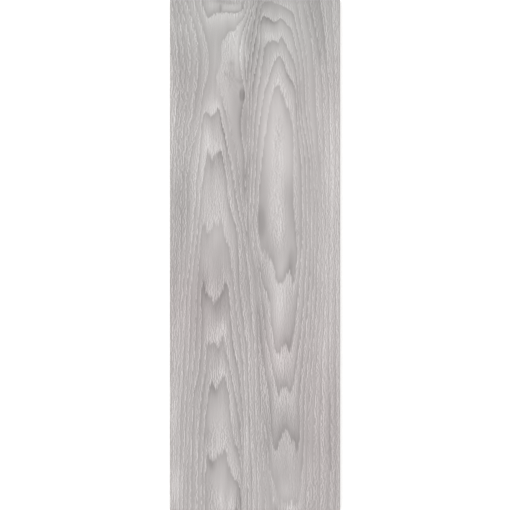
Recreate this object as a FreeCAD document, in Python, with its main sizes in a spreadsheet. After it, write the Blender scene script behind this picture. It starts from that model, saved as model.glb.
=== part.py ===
"""A wood look porcelain plank tile, as one pressed and fired solid lying face up.

The plank's width runs along X, its length along Y and its thickness along Z. The origin is the centre
of the back, on the plane of the rib tops, so the tile lies on Z = 0 with its face up. All sizes are in
millimetres.

The slab has ground, square edges, a fine bevel round its face and a wider one round its back. The back is
keyed for adhesive: a plain rim encloses a lattice of low ribs, and between the ribs lie shallow cells with
drafted walls.
"""

import os

import FreeCAD
import Part
import Sketcher

PIECE = "plank_tile"
OUTPUT_FOLDER = "parts"
VOLUME_TOLERANCE = 1e-4
MM3_PER_CM3 = 1000.0

DRIVING_SIZES = (
    ("tile_width", 200.0, "across the plank, edge to edge"),
    ("tile_length", 600.0, "along the plank, end to end"),
    ("tile_thickness", 9.0, "from the rib tops to the face"),
    ("face_bevel", 0.5, "ground bevel round the face"),
    ("back_bevel", 0.8, "bevel round the back"),
    ("rim_width", 8.0, "plain rim of the back, from the tile's edge to the first cells"),
    ("rib_width", 4.0, "rib between two cells, across its top"),
    ("cell_pitch", 27.0, "wanted distance from one cell to the next, fitted to a whole number of cells"),
    ("cell_depth", 0.6, "depth of the cells below the rib tops"),
    ("cell_draft", 40.0, "lean of the cell walls from upright, in degrees"),
)


def sizes_sheet(doc):
    """The sheet of driving dimensions: what each one is, and its value in a named cell."""
    sheet = doc.addObject("Spreadsheet::Sheet", "Sizes")
    for row, (alias, value, meaning) in enumerate(DRIVING_SIZES, start=1):
        sheet.set(f"A{row}", meaning)
        sheet.set(f"B{row}", str(value))
        sheet.setAlias(f"B{row}", alias)
    doc.recompute()
    return sheet


def lattice(span):
    """Expressions for the cells along one span of the back: their count, exact pitch and mouth."""
    inside = f"(Sizes.{span} - 2 * Sizes.rim_width + Sizes.rib_width)"
    count = f"round({inside} / Sizes.cell_pitch)"
    pitch = f"({inside} / {count})"
    mouth = f"({pitch} - Sizes.rib_width)"
    return count, pitch, mouth


def origin_feature(body, role):
    """The plane or axis with that role in the body's own origin."""
    return next(feature for feature in body.Origin.OriginFeatures if feature.Role == role)


def back_plane_rectangle(body, name, size_x, size_y, reach_x, reach_y):
    """A rectangle on the plane of the back.

    The sizes are its sides, and the reaches are how far its corner at -X and -Y lies from the origin. All
    four are expressions. It is drawn roughly first, and the constraints then set it.
    """
    sketch = body.newObject("Sketcher::SketchObject", name)
    sketch.AttachmentSupport = [(origin_feature(body, "XY_Plane"), "")]
    sketch.MapMode = "FlatFace"
    corners = [FreeCAD.Vector(x, y, 0) for x, y in ((-2, -2), (-1, -2), (-1, -1), (-2, -1))]
    for start, end in zip(corners, corners[1:] + corners[:1]):
        sketch.addGeometry(Part.LineSegment(start, end), False)
    bottom, right, top, left = range(4)
    start_point, end_point, origin = 1, 2, -1
    for line, following in ((bottom, right), (right, top), (top, left), (left, bottom)):
        sketch.addConstraint(Sketcher.Constraint("Coincident", line, end_point, following, start_point))
    for line in (bottom, top):
        sketch.addConstraint(Sketcher.Constraint("Horizontal", line))
    for line in (right, left):
        sketch.addConstraint(Sketcher.Constraint("Vertical", line))
    dimensions = (
        ("size_x", "DistanceX", (bottom, start_point, bottom, end_point), size_x),
        ("size_y", "DistanceY", (right, start_point, right, end_point), size_y),
        ("reach_x", "DistanceX", (bottom, start_point, origin, start_point), reach_x),
        ("reach_y", "DistanceY", (bottom, start_point, origin, start_point), reach_y),
    )
    for label, kind, points, expression in dimensions:
        index = sketch.addConstraint(Sketcher.Constraint(kind, *points, 1.0))
        sketch.renameConstraint(index, label)
        sketch.setExpression(f"Constraints.{label}", expression)
    return sketch


def edges_at_height(shape, height):
    """Names of the edges that lie wholly at one height."""
    return [
        f"Edge{index}"
        for index, edge in enumerate(shape.Edges, start=1)
        if all(abs(vertex.Z - height) < Part.Precision.confusion() for vertex in edge.Vertexes)
    ]


def add_bevel(body, name, base, height, size):
    """An even bevel on all edges of the base feature at one height."""
    bevel = body.newObject("PartDesign::Chamfer", name)
    bevel.Base = (base, edges_at_height(base.Shape, height))
    bevel.setExpression("Size", size)
    bevel.Refine = False
    body.Document.recompute()
    return bevel


def add_slab(body, sheet):
    """The pressed slab with its two bevels."""
    outline = back_plane_rectangle(
        body,
        "SlabOutline",
        size_x="Sizes.tile_width",
        size_y="Sizes.tile_length",
        reach_x="Sizes.tile_width / 2",
        reach_y="Sizes.tile_length / 2",
    )
    slab = body.newObject("PartDesign::Pad", "Slab")
    slab.Profile = outline
    slab.setExpression("Length", "Sizes.tile_thickness")
    body.Document.recompute()
    face_bevelled = add_bevel(body, "FaceBevel", slab, sheet.get("tile_thickness"), "Sizes.face_bevel")
    return add_bevel(body, "BackBevel", face_bevelled, 0.0, "Sizes.back_bevel")


def add_cells(body):
    """The first cell of the back, at the corner at -X and -Y, and its repeats along both sides.

    Returns the first cell's cut and the two rows of repeats.
    """
    count_x, pitch_x, mouth_x = lattice("tile_width")
    count_y, pitch_y, mouth_y = lattice("tile_length")
    outline = back_plane_rectangle(
        body,
        "CellOutline",
        size_x=mouth_x,
        size_y=mouth_y,
        reach_x="Sizes.tile_width / 2 - Sizes.rim_width",
        reach_y="Sizes.tile_length / 2 - Sizes.rim_width",
    )
    cell = body.newObject("PartDesign::Pocket", "Cell")
    cell.Profile = outline
    cell.Reversed = True
    cell.setExpression("Length", "Sizes.cell_depth")
    cell.setExpression("TaperAngle", "-Sizes.cell_draft")
    cell.Refine = False
    body.Document.recompute()
    cells = body.newObject("PartDesign::MultiTransform", "Cells")
    cells.Originals = [cell]
    cells.Refine = False
    directions = (
        ("CellsAcross", "X_Axis", count_x, pitch_x),
        ("CellsAlong", "Y_Axis", count_y, pitch_y),
    )
    rows = []
    for name, axis, count, pitch in directions:
        row = body.newObject("PartDesign::LinearPattern", name)
        row.Direction = (origin_feature(body, axis), [""])
        row.Mode = "Spacing"
        row.setExpression("Offset", pitch)
        row.setExpression("Occurrences", count)
        rows.append(row)
    cells.Transformations = rows
    body.Tip = cells
    body.Document.recompute()
    return cell, rows


def main():
    """Builds the tile, checks it and writes its shape."""
    doc = FreeCAD.newDocument(PIECE)
    sheet = sizes_sheet(doc)
    tile = doc.addObject("PartDesign::Body", PIECE)
    tile.Label = PIECE
    slab = add_slab(tile, sheet)
    cell, rows = add_cells(tile)
    for item in doc.Objects:
        if {"Invalid", "Error"} & set(item.State):
            raise RuntimeError(f"{item.Name} failed: {item.State}")
    if tile.Shape.isNull() or not tile.Shape.isValid() or len(tile.Shape.Solids) != 1:
        raise RuntimeError("the tile isn't one valid solid")
    across, along = (row.Occurrences for row in rows)
    slab_volume = slab.Shape.Volume
    one_cell = slab_volume - cell.Shape.Volume
    left_uncut = tile.Shape.Volume - (slab_volume - one_cell * across * along)
    if one_cell <= 0 or abs(left_uncut) > VOLUME_TOLERANCE * slab_volume:
        raise RuntimeError("the cells of the back aren't all cut")
    os.makedirs(OUTPUT_FOLDER, exist_ok=True)
    tile.Shape.exportStep(os.path.join(OUTPUT_FOLDER, f"{tile.Label}.step"))
    print(f"{tile.Label}: {across} x {along} cells, {tile.Shape.Volume / MM3_PER_CM3:.1f} cm3")


main()
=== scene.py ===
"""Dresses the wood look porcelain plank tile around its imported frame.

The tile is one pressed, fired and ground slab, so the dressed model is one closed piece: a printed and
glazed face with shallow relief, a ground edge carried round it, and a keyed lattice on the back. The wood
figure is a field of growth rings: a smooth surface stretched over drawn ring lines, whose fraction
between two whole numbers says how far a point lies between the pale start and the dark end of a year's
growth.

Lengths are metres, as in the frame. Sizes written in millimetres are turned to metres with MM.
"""

import logging
import math
from collections.abc import Iterable
from dataclasses import dataclass, fields
from enum import Enum
from typing import Any

import bpy
import numpy as np
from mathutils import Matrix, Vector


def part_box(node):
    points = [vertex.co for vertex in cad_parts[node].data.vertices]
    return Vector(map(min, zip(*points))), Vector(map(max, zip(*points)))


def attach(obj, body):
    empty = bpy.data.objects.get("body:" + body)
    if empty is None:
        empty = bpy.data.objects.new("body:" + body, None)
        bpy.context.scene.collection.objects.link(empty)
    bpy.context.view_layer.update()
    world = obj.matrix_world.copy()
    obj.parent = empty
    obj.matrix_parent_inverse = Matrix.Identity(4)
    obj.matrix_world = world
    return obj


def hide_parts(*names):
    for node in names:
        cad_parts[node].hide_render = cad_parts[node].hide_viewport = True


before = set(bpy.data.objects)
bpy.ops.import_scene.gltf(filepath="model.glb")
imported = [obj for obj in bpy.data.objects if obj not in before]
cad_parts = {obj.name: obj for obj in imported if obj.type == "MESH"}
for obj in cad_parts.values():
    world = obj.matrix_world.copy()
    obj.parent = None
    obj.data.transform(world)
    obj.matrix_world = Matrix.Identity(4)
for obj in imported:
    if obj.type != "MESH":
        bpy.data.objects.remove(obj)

MM = 0.001
NODE = "plank_tile"
BODY = "root"

# Keeps the logarithm of a distance off zero
TINY = 1e-9

# The mean of a noise node's values
NOISE_MEAN = 0.5

# The kinds of node that recur, and what a math node works out
MATH = "ShaderNodeMath"
MIX = "ShaderNodeMix"
RAMP = "ShaderNodeValToRGB"
NOISE = "ShaderNodeTexNoise"
MAP_RANGE = "ShaderNodeMapRange"
ADD = {"operation": "ADD"}
SUBTRACT = {"operation": "SUBTRACT"}
MULTIPLY = {"operation": "MULTIPLY"}
MULTIPLY_ADD = {"operation": "MULTIPLY_ADD"}
DIVIDE = {"operation": "DIVIDE"}
MAXIMUM = {"operation": "MAXIMUM"}
FLOOR = {"operation": "FLOOR"}
FRACT = {"operation": "FRACT"}

# A mix node's sockets for colours
COLOUR_A, COLOUR_B, COLOUR_MIXED = 6, 7, 2

log = logging.getLogger(NODE)


class Zone(Enum):
    """The two surfaces of the tile, in the order of the piece's material slots."""

    FACE = 0
    FIRED_BODY = 1


class Growth(Enum):
    """What an accent changes: a ring's dark end or pale start, the print's tone, grit or warmth."""

    LATEWOOD = "late"
    EARLYWOOD = "early"
    CLOUD = "tone"
    GRIT = "grit"
    WARMTH = "warmth"


@dataclass(frozen=True)
class GrainLine:
    """One line drawn along the grain of the face, and the value that holds all along it.

    The points are millimetres across from the left edge and down from the top edge.
    Contrast says how strongly the wood shows along the line, from 0 to 1.
    """

    value: float
    contrast: float
    points: tuple[tuple[float, float], ...]


@dataclass(frozen=True)
class Accent:
    """An oval that deepens one part of the growth: its centre, its half widths in millimetres, its amount.

    A blunt of 1 fades it as a bell curve, a higher one keeps it level up to a crisper edge.
    """

    growth: Growth
    across: float
    down: float
    half_across: float
    half_down: float
    amount: float
    blunt: float = 1.0


@dataclass(frozen=True)
class Streak:
    """A noise stretched along the grain: the size of its features across and along, in millimetres.

    Detail is how many finer layers it has and rough how strongly they show. Shift is its own slice of the
    noise, so that no two streaks run alike. A noise of strands is cut into straight strands of the width
    across, each of them its own stretch of noise.
    """

    across: float
    along: float
    detail: float = 2.0
    rough: float = 0.5
    shift: float = 0.0
    strands: bool = False


# Ring lines of the left column, from its heart at the lower end upwards
LEFT_COLUMN = (
    GrainLine(0, 0.5, ((48, 640), (53, 625), (59, 618), (66, 617), (72, 622), (77, 632), (80, 645))),
    GrainLine(1, 1.0, (
        (42, 610), (41.3, 590), (41, 572), (42, 552), (43.3, 539), (44.5, 531), (46, 536), (48, 540.5),
        (51.5, 541), (54, 537), (56, 532.5), (60, 531), (65, 530), (67, 536), (69, 547), (72, 555),
        (77, 563), (81, 571), (83, 582), (84, 610),
    )),
    GrainLine(2, 1.0, (
        (37.5, 610), (38, 570), (39, 532), (41, 503), (43, 480), (45.5, 463), (47.5, 453), (49.5, 447.5),
        (51.5, 451), (53.5, 456), (56, 455), (58.5, 450), (60.5, 447), (62.5, 440.5), (65, 446),
        (67.5, 455), (69.5, 467), (71.5, 488), (74, 509), (77, 521), (81, 533), (83.5, 547), (85, 570),
        (85.5, 610),
    )),
    GrainLine(3, 1.0, (
        (32.5, 610), (33, 560), (34, 522), (35, 494), (37, 472), (39.5, 455), (42, 434), (43, 414),
        (44.5, 404), (49, 402.5), (53, 404.5), (56, 408.5), (58.5, 404), (60, 398), (62, 395), (64, 402),
        (66, 414), (69, 426), (72.5, 442), (76, 461), (79.5, 480), (82, 498), (83.5, 516), (85.3, 540),
        (86.3, 570), (86.8, 610),
    )),
    GrainLine(4, 1.0, (
        (25, 610), (25.5, 560), (27, 490), (28.5, 462), (32, 447), (35, 430), (37, 405), (37.5, 385),
        (36.7, 360), (37, 343), (39, 333.5), (41, 336), (43.5, 343), (47, 348), (50, 354), (52.5, 357.5),
        (55, 354), (58, 349), (61, 343), (63.5, 335), (66, 332.5), (68.3, 338), (70, 352), (71.3, 370),
        (73, 393), (75.5, 412), (79, 428), (81.5, 446), (84, 468), (86, 492), (87, 520), (87.8, 560),
        (88, 610),
    )),
    GrainLine(5, 0.8, (
        (19.5, 610), (21.5, 530), (23.5, 480), (26, 445), (29.5, 415), (31, 380), (32, 345), (34, 317),
        (35.7, 293), (37, 272), (38.8, 261.5), (41, 266), (43.5, 271.5), (47.5, 272), (49.5, 267),
        (53, 263.5), (57, 264), (60, 260), (62, 264), (63.5, 276), (67, 286), (70.5, 299), (73, 318),
        (76, 343), (78, 366), (81, 390), (84.5, 413), (87, 445), (88.5, 485), (90, 530), (92, 610),
    )),
    GrainLine(6, 1.0, (
        (15, 610), (17, 530), (20, 460), (23.5, 400), (25, 345), (28, 312), (31.5, 282), (34.5, 255),
        (37, 226), (39.5, 206), (42, 188), (44, 180), (47, 182), (49, 187.5), (51, 184), (54, 183),
        (57, 178.5), (60, 176.5), (62, 184), (64.5, 197), (67, 217), (69.5, 238), (74, 254), (78, 267),
        (80, 285), (81, 316), (83, 350), (87, 382), (91, 415), (93, 470), (95.5, 530), (98, 610),
    )),
    GrainLine(7, 1.0, (
        (10.5, 610), (12.5, 500), (15, 445), (17.3, 395), (19.5, 348), (23.5, 310), (27, 278), (29.5, 248),
        (31, 215), (34, 188), (36.3, 162), (37.7, 146), (39, 136), (41, 132.5), (44, 134), (47.5, 136.5),
        (51.5, 136.5), (54, 133), (56, 127), (58, 129.5), (60, 138), (63, 154), (67, 173), (71.5, 193),
        (75, 214), (79, 240), (84, 263), (88, 290), (92, 318), (94.5, 350), (97.5, 385), (100, 425),
        (100.5, 480), (102, 540), (104, 610),
    )),
    GrainLine(7, 1.0, (
        (35.5, -10), (38, 4), (41, 14), (44, 20), (48, 20.5), (51, 17.5), (58, 16), (66, 15.5), (75, 15.5),
        (82, 15), (86, 11), (87.5, 4), (88.5, -10),
    )),
    GrainLine(8, 0.7, (
        (26, -10), (30, 8), (34, 20), (38, 31), (41, 41), (43.5, 51), (45, 62), (45.5, 74), (45, 85),
        (42.5, 96), (39.5, 108), (37, 124), (35, 142), (31, 158), (26.5, 173), (22.5, 193), (20.3, 220),
        (19, 270), (17, 325), (13.5, 372), (11, 430), (8, 500), (6, 610),
    )),
    GrainLine(8, 0.7, (
        (93.5, -10), (91, 8), (88, 18), (84.5, 24), (80.5, 29), (77, 36.5), (70, 38.5), (65, 44), (61, 51),
        (60, 59), (61, 67), (60, 75), (57, 84), (54.5, 93),
    )),
    GrainLine(8, 0.0, ((56, 104), (60.5, 115), (66, 134), (71, 156), (76, 178))),
    GrainLine(8, 0.6, ((80, 202), (82.5, 228), (86, 253), (89, 271))),
    GrainLine(9, 0.8, (
        (16, -10), (21.5, 8), (25, 20), (28, 30), (31, 41), (33, 51), (34.4, 63), (34.5, 77), (33, 92),
        (30, 109), (27, 132), (22, 159), (17.5, 185), (14.5, 215), (13, 265), (11.8, 335), (9, 400),
        (6, 470), (3.5, 610),
    )),
    GrainLine(9, 0.9, (
        (98, -10), (95, 10), (91.5, 23), (87.5, 34), (84, 44), (82.3, 56), (82.2, 72), (83.5, 86), (86, 98),
        (87.8, 109), (87, 120), (84.6, 132), (83.3, 144), (83.4, 155), (85.5, 171), (88, 185), (88.8, 200),
        (89, 213),
    )),
    GrainLine(10, 0.6, (
        (10, -10), (16, 15), (20.5, 32), (23.3, 46), (24.7, 62), (24.5, 78), (22.5, 102), (19, 130),
        (14, 163), (11, 192), (9.5, 225), (8, 290), (7, 370), (5, 450),
    )),
    GrainLine(11, 0.6, (
        (5, -10), (11, 18), (15, 45), (17.2, 66), (17.5, 84), (16, 108), (13, 138), (9, 170), (6, 215),
        (4.5, 300),
    )),
    GrainLine(12, 0.8, (
        (0, -10), (6, 30), (9.5, 62), (11, 86), (10.6, 103), (8.5, 122), (6.3, 140), (3, 175),
    )),
)

# Ring lines of the right column, from its outer rings inwards to the heart
RIGHT_COLUMN = (
    GrainLine(10, 1.0, (
        (100.5, -10), (97, 10), (94, 25), (91, 37), (89, 48), (88.3, 60), (88.6, 75), (89.5, 87),
        (90.3, 94), (91.2, 84), (92.4, 70), (94.3, 55), (96.3, 42), (98.3, 30), (100.3, 18), (104.5, -10),
    )),
    GrainLine(9, 1.0, (
        (89.8, 217), (90.2, 200), (91, 170), (92.5, 140), (93.2, 115), (94.2, 92), (96.5, 70), (99.5, 51),
        (102.5, 35), (105, 19), (107.5, 8), (112, 3), (118, 2), (125, 4.5), (133, 8), (141, 13),
        (145.5, 19), (148, 30), (151.5, 46), (155, 64), (157.3, 80), (158.8, 105), (160, 130), (163, 155),
        (166.5, 180), (169, 215), (170, 260), (169, 310), (167.5, 350), (166, 385), (163, 420), (160, 447),
        (158, 464), (157.6, 490), (157.2, 512), (156, 540), (154.5, 562), (152.5, 583), (150, 595),
        (147, 593), (143, 590), (138, 591), (131, 594), (125, 590), (120.5, 583), (117, 568), (114.8, 548),
        (112.8, 522), (110.5, 503),
    )),
    GrainLine(8, 1.0, (
        (90, 272), (91, 245), (92.3, 210), (94, 170), (95.5, 140), (96.5, 114), (98.5, 92), (102, 76.5),
        (104.5, 58), (105.5, 40), (106.3, 30), (107.7, 23), (110, 20), (114, 20.5), (118, 23),
        (121.5, 25.5), (124, 26), (127, 23.5), (131, 22.5), (134.5, 25.5), (138, 29.5), (142, 33),
        (144.5, 41), (147.5, 54), (150.8, 68), (152.7, 86), (153.6, 110), (154.6, 131), (157.5, 152),
        (161.5, 172), (164.3, 195), (165.5, 230), (165.6, 280), (164.4, 318), (162.5, 348), (160.3, 378),
        (157.5, 408), (155.2, 434), (153, 456), (152.4, 476), (152.8, 498), (152.2, 516), (150.5, 528),
        (149.3, 531), (147.5, 524), (144, 517.5), (140.5, 511.5), (138, 507), (135.6, 503.5), (132.5, 510),
        (129, 518), (126, 526), (123.5, 530), (121, 521), (119, 502), (117, 478), (115, 456), (111.5, 437),
        (108.5, 417), (106, 395), (104, 372),
    )),
    GrainLine(8, 0.7, (
        (104, 376), (103.4, 400), (104.5, 430), (106.3, 456), (106.6, 485), (107, 520), (109.5, 550),
        (112, 610),
    )),
    GrainLine(7, 1.0, (
        (128.5, 464.5), (126, 459), (123.7, 450), (120.8, 435), (117, 417), (112.5, 394), (109.5, 369),
        (107, 345), (103.8, 319), (99.8, 294), (96.5, 276), (94.6, 257), (95, 236), (96.3, 204), (98, 172),
        (100, 140), (103, 112), (106, 94), (108.3, 76), (110.5, 60), (112, 53), (115, 49.3), (120, 48.5),
        (124.5, 49.3), (126.7, 52), (128.3, 46.5), (130.5, 42), (133, 45), (136.5, 53), (141.5, 63),
        (145.5, 72), (148.5, 86), (150.4, 105), (151.5, 130), (154, 152), (158, 178), (160, 205),
        (160.8, 245), (160.8, 290), (158.8, 328), (157, 360), (154, 390), (150.5, 414), (147.3, 440),
        (145, 454), (142, 460.5), (139.3, 460), (137, 456.5), (131.3, 457), (130, 460.5),
    )),
    GrainLine(6, 1.0, (
        (127, 416), (124, 411), (121.5, 399), (119.3, 379), (116.8, 356), (113, 343), (109, 334),
        (106, 319), (102.5, 297), (98.8, 277), (97.4, 262), (98.6, 244), (100, 217), (102, 183),
        (104.2, 153), (108, 127), (112, 105), (116.5, 91), (120.5, 77), (124, 70.5), (128, 66), (131, 69),
        (134.5, 76), (138, 86), (142.5, 94), (146.3, 102.5), (148.2, 116), (149.3, 138), (151.5, 166),
        (154.2, 198), (155.3, 240), (155, 280), (152.8, 318), (150, 352), (147.3, 379), (143.8, 401),
        (142.2, 411), (140.5, 414), (138.5, 410.5), (136, 408), (133, 409.5), (130.7, 410.5), (129.3, 415),
    )),
    GrainLine(5, 1.0, (
        (122.5, 106), (126, 101), (129.5, 104.5), (132.5, 111), (135, 119), (138.3, 128), (141.7, 136),
        (144, 150), (144.8, 175), (144.9, 205), (144.3, 222), (145, 239), (147, 260), (149, 285),
        (149, 307), (147.3, 322), (145.5, 331), (143.7, 329.5), (142.5, 324), (139.5, 322), (136.3, 324),
        (134.7, 330.5), (131, 332.5), (127, 332), (124.5, 331.5), (123.5, 322), (120.7, 308), (116, 301),
        (110.5, 296), (106.3, 287), (104.3, 270), (104.2, 245), (105.3, 220), (108.2, 191), (111.5, 163),
        (115, 141), (118.3, 121),
    )),
)

# Straight grain of the right flank
RIGHT_FLANK = (
    GrainLine(10, 0.6, (
        (146.5, -10), (151, 14), (155.5, 39), (159.5, 64), (162, 95), (164, 135), (169, 178), (172.5, 220),
        (174, 270), (173, 320), (171, 370), (168, 405), (165, 445), (163, 480), (162, 525), (160.5, 610),
    )),
    GrainLine(11, 0.6, (
        (154, -10), (160, 17), (165, 42), (169, 76), (171.5, 115), (174.5, 165), (178, 220), (178.5, 300),
        (176, 380), (172, 430), (169.7, 485), (168.5, 540), (168, 610),
    )),
    GrainLine(12, 0.8, (
        (160.5, -10), (167, 18), (173, 44), (177.5, 80), (180.5, 130), (182, 200), (182.8, 280),
        (181.5, 370), (179, 430), (177, 510), (176, 610),
    )),
    GrainLine(13, 0.8, (
        (175, -10), (182, 45), (186.5, 100), (188.3, 180), (188, 300), (187.3, 420), (188.3, 480),
        (188.8, 515), (190, 540), (187, 580), (186, 610),
    )),
    GrainLine(14, 0.6, (
        (189.5, -10), (193, 60), (195, 160), (195, 300), (195, 420), (196, 520), (195, 610),
    )),
)

# Stakes between the lines: they set how far a year's growth has come where a ring is wide
STAKES = (
    GrainLine(4.26, 1.0, ((128, 150), (126, 180), (124.5, 210), (124, 240), (124.5, 268), (126, 283))),
    GrainLine(4.45, 1.0, ((130, 298), (131, 312))),
    GrainLine(7.72, 0.6, ((52, 45), (53, 60), (52, 75), (49, 90))),
    GrainLine(4.60, 1.0, ((51, 300), (52, 312))),
    GrainLine(0.28, 1.0, ((60, 585), (66, 600))),
    GrainLine(9.60, 0.8, ((90.3, 130), (90.2, 165))),
    GrainLine(10.6, 1.0, ((93.5, 55), (97, 30))),
)

# Lanes that the pores and fibres follow, numbered across the grain, about one number a millimetre
LANES = (
    GrainLine(-23, 1.0, (
        (-13, -10), (-7, 30), (-3, 75), (-5, 120), (-11, 180), (-12, 250), (-12, 330), (-15, 420),
        (-18, 500), (-20, 610),
    )),
    GrainLine(-10, 1.0, (
        (0, -10), (6, 30), (10, 75), (8, 120), (2, 180), (1, 250), (0, 330), (-3, 420), (-6, 500),
        (-8, 610),
    )),
    GrainLine(3, 1.0, (
        (14, -10), (24, 30), (28, 75), (24, 120), (16, 180), (13, 250), (12, 330), (9, 420), (6, 500),
        (4, 610),
    )),
    GrainLine(17, 1.0, (
        (36, -10), (44, 40), (44, 75), (37, 120), (32, 180), (28, 250), (25, 310), (21, 380), (17, 450),
        (13, 520), (11, 610),
    )),
    GrainLine(50, 1.0, ((58, -10), (54, 80), (48, 140), (50, 300), (50, 430), (50, 520), (52, 610))),
    GrainLine(84, 1.0, (
        (72, -10), (66, 60), (62, 115), (65, 160), (70, 220), (73, 270), (78, 320), (80, 370), (83, 410),
        (86, 450), (88, 500), (90, 550), (91, 610),
    )),
    GrainLine(96, 1.0, (
        (90, -10), (84, 50), (83, 100), (83, 150), (84, 200), (84, 240), (86, 280), (90, 320), (93, 360),
        (97, 410), (99, 470), (101, 540), (103, 610),
    )),
    GrainLine(106, 1.0, (
        (103, -10), (97, 30), (93, 80), (91, 130), (90, 190), (90.5, 240), (94, 290), (100, 330),
        (104, 375), (106, 430), (107, 490), (109, 550), (112, 610),
    )),
    GrainLine(117, 1.0, (
        (112, -10), (108, 40), (105, 90), (102, 130), (101, 180), (100, 230), (102, 270), (106, 310),
        (110, 350), (113, 390), (116, 430), (117, 480), (120, 530), (122, 610),
    )),
    GrainLine(141, 1.0, ((128, -10), (127, 150), (128, 300), (132, 450), (135, 610))),
    GrainLine(165, 1.0, (
        (142, -10), (145, 50), (148, 100), (149.5, 150), (152, 200), (153, 250), (152, 300), (150, 350),
        (147, 400), (146, 450), (148, 500), (150, 550), (150, 610),
    )),
    GrainLine(177, 1.0, (
        (148, -10), (154, 60), (157, 110), (161, 170), (164, 220), (165, 280), (163, 340), (160, 400),
        (156, 440), (155, 490), (155, 540), (153, 610),
    )),
    GrainLine(192, 1.0, (
        (156, -10), (163, 40), (170, 100), (175, 180), (178, 260), (178, 320), (175, 390), (170, 450),
        (168, 520), (167, 610),
    )),
    GrainLine(206, 1.0, (
        (172, -10), (182, 60), (187, 150), (188.5, 250), (187.5, 400), (188, 500), (187, 610),
    )),
    GrainLine(221, 1.0, (
        (189.5, -10), (195, 60), (199, 150), (200.5, 250), (200, 400), (200.5, 500), (200, 610),
    )),
    GrainLine(236, 1.0, (
        (204, -10), (208, 60), (211, 150), (212, 250), (212, 400), (212, 500), (212, 610),
    )),
)

LATE, EARLY, CLOUD, GRIT, WARMTH = Growth

# The knot, the smooth wood that swells round it, and the flecks above it
KNOT_WOOD = (
    Accent(CLOUD, 84.9, 111.8, 3.4, 8.2, -0.085, blunt=4.0),
    Accent(CLOUD, 86.9, 111.8, 1.4, 7.6, -0.035, blunt=3.0),
    Accent(CLOUD, 82.9, 112.2, 1.3, 7.2, -0.035, blunt=2.0),
    Accent(CLOUD, 72, 75, 3, 2.5, -0.06),
    Accent(CLOUD, 66, 88, 2, 3, -0.05),
    Accent(CLOUD, 73, 89, 8, 15, -0.05),
    Accent(CLOUD, 79, 94.5, 2, 2, -0.05),
    Accent(CLOUD, 82.5, 97, 2, 1.8, -0.05),
    Accent(CLOUD, 77, 117, 4, 16, -0.03),
    Accent(CLOUD, 80, 61, 6, 31, 0.08),
    Accent(CLOUD, 81.8, 62, 1.2, 13, -0.05),
    Accent(CLOUD, 62, 100, 10, 45, 0.045),
    Accent(CLOUD, 85, 135, 8, 30, -0.055),
    Accent(EARLY, 60, 72, 5, 24, -0.02),
    Accent(EARLY, 62, 24, 22, 12, 0.03),
    Accent(EARLY, 73, 55, 9, 22, 0.05),
    Accent(LATE, 57, 72, 5, 24, -0.025),
    Accent(LATE, 62, 150, 5, 34, 0.18),
    Accent(LATE, 81, 150, 6, 30, 0.06),
    Accent(LATE, 90, 62, 6, 14, -0.035),
    Accent(GRIT, 63, 70, 6, 28, 0.38),
    Accent(GRIT, 72, 90, 14, 35, -0.15),
    Accent(GRIT, 72, 92, 9, 18, 0.22),
    Accent(GRIT, 75, 150, 9, 40, -0.60),
)

# The box that the top end cuts off
TOP_BOX = (
    Accent(CLOUD, 59.5, 10, 1.5, 5, -0.105, blunt=1.5),
    Accent(CLOUD, 85.5, 9, 1.8, 5.5, -0.075, blunt=1.5),
    Accent(CLOUD, 72, 14.5, 13, 1.2, -0.035, blunt=2.0),
    Accent(CLOUD, 74, 3.8, 13, 1.8, -0.05, blunt=1.5),
    Accent(CLOUD, 60, 1, 8, 2.5, -0.07),
    Accent(CLOUD, 71, 9.5, 11, 3.8, 0.032, blunt=2.0),
    Accent(CLOUD, 50, 7, 6, 6, 0.04),
    Accent(LATE, 70, 10, 16, 8, -0.045),
    Accent(GRIT, 62, 24, 26, 14, -0.40),
    Accent(GRIT, 70, 3, 14, 5, 0.45),
)

# The dark, cool top end on both sides of the box
TOP_END = (
    Accent(CLOUD, 100, 0, 140, 4, -0.02),
    Accent(CLOUD, 10, 10, 12, 16, -0.035),
    Accent(CLOUD, 104, 16, 8, 26, -0.055),
    Accent(CLOUD, 114, 3, 13, 7, -0.055),
    Accent(CLOUD, 114, 26, 9, 4, -0.045),
    Accent(CLOUD, 117, 43, 10, 5, 0.035),
    Accent(CLOUD, 105, 55, 5, 13, -0.03),
    Accent(CLOUD, 112, 66, 9, 25, -0.025),
    Accent(CLOUD, 125, 12, 20, 14, -0.02),
    Accent(CLOUD, 95, 75, 6, 50, -0.045),
    Accent(CLOUD, 168, 8, 10, 28, -0.065),
    Accent(CLOUD, 177, 46, 7, 34, -0.055),
    Accent(EARLY, 151, 75, 8, 25, -0.015),
    Accent(LATE, 97, 45, 8, 60, 0.10),
    Accent(LATE, 115, 23, 10, 8, 0.06),
    Accent(LATE, 120, 4, 24, 8, -0.06),
    Accent(LATE, 151, 75, 8, 25, -0.03),
    Accent(GRIT, 88, 45, 9, 50, -0.15),
    Accent(GRIT, 129, 28, 22, 30, -0.25),
    Accent(GRIT, 151, 62, 9, 32, -0.22),
    Accent(GRIT, 12, 15, 16, 30, -0.05),
    Accent(WARMTH, 100, 15, 160, 70, -0.45, blunt=2.0),
)

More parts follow.
